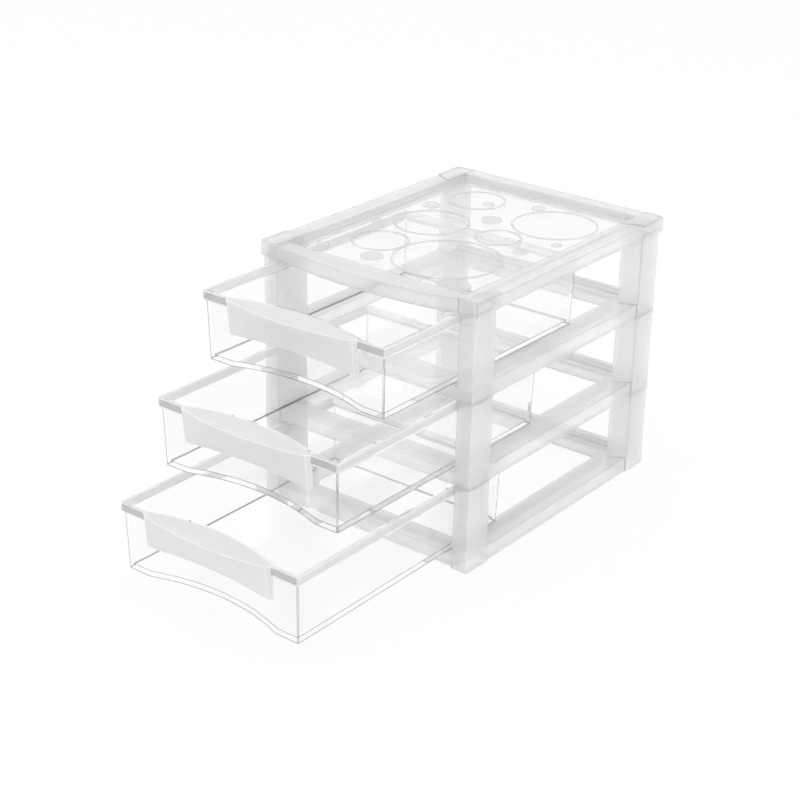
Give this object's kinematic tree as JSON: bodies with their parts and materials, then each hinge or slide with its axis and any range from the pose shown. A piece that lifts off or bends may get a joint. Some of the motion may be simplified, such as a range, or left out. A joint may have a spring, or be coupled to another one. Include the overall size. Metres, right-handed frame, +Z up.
{
  "type": "stacking drawer unit",
  "caption": "Small three-tier stacking drawer unit: frosted open frames, a framed clear top panel and clear pull-out drawers with a curved finger grip.",
  "frame": {"origin": "centre of the cabinet's footprint on the surface it stands on, under the middle of the bottom tier frame", "axes": "+Z up, -Y towards the drawer fronts, +X to the right of someone who faces the drawers"},
  "size_m": [0.134, 0.2848, 0.1425],
  "materials": {
    "frosted_frame": "frosted translucent polypropylene",
    "frosted_rim": "frosted translucent polypropylene",
    "clear_tray": "clear polystyrene",
    "clear_panel": "clear polystyrene with a raised pattern of circles"
  },
  "bodies": {
    "cabinet": {"bottom_tier_frame": "frosted_frame", "middle_tier_frame": "frosted_frame", "top_tier_frame": "frosted_frame", "cap_frame": "frosted_frame", "top_panel": "clear_panel"},
    "bottom_drawer": {"bottom_drawer_tray": "clear_tray", "bottom_drawer_rim": "frosted_rim"},
    "middle_drawer": {"middle_drawer_tray": "clear_tray", "middle_drawer_rim": "frosted_rim"},
    "top_drawer": {"top_drawer_tray": "clear_tray", "top_drawer_rim": "frosted_rim"}
  },
  "joints": [
    {"name": "bottom_drawer_slide", "type": "slide", "parent": "cabinet", "child": "bottom_drawer", "axis": [0, -1, 0], "range_m": [-0.108, 0.012]},
    {"name": "middle_drawer_slide", "type": "slide", "parent": "cabinet", "child": "middle_drawer", "axis": [0, -1, 0], "range_m": [-0.081, 0.039]},
    {"name": "top_drawer_slide", "type": "slide", "parent": "cabinet", "child": "top_drawer", "axis": [0, -1, 0], "range_m": [-0.049, 0.071]}
  ]
}
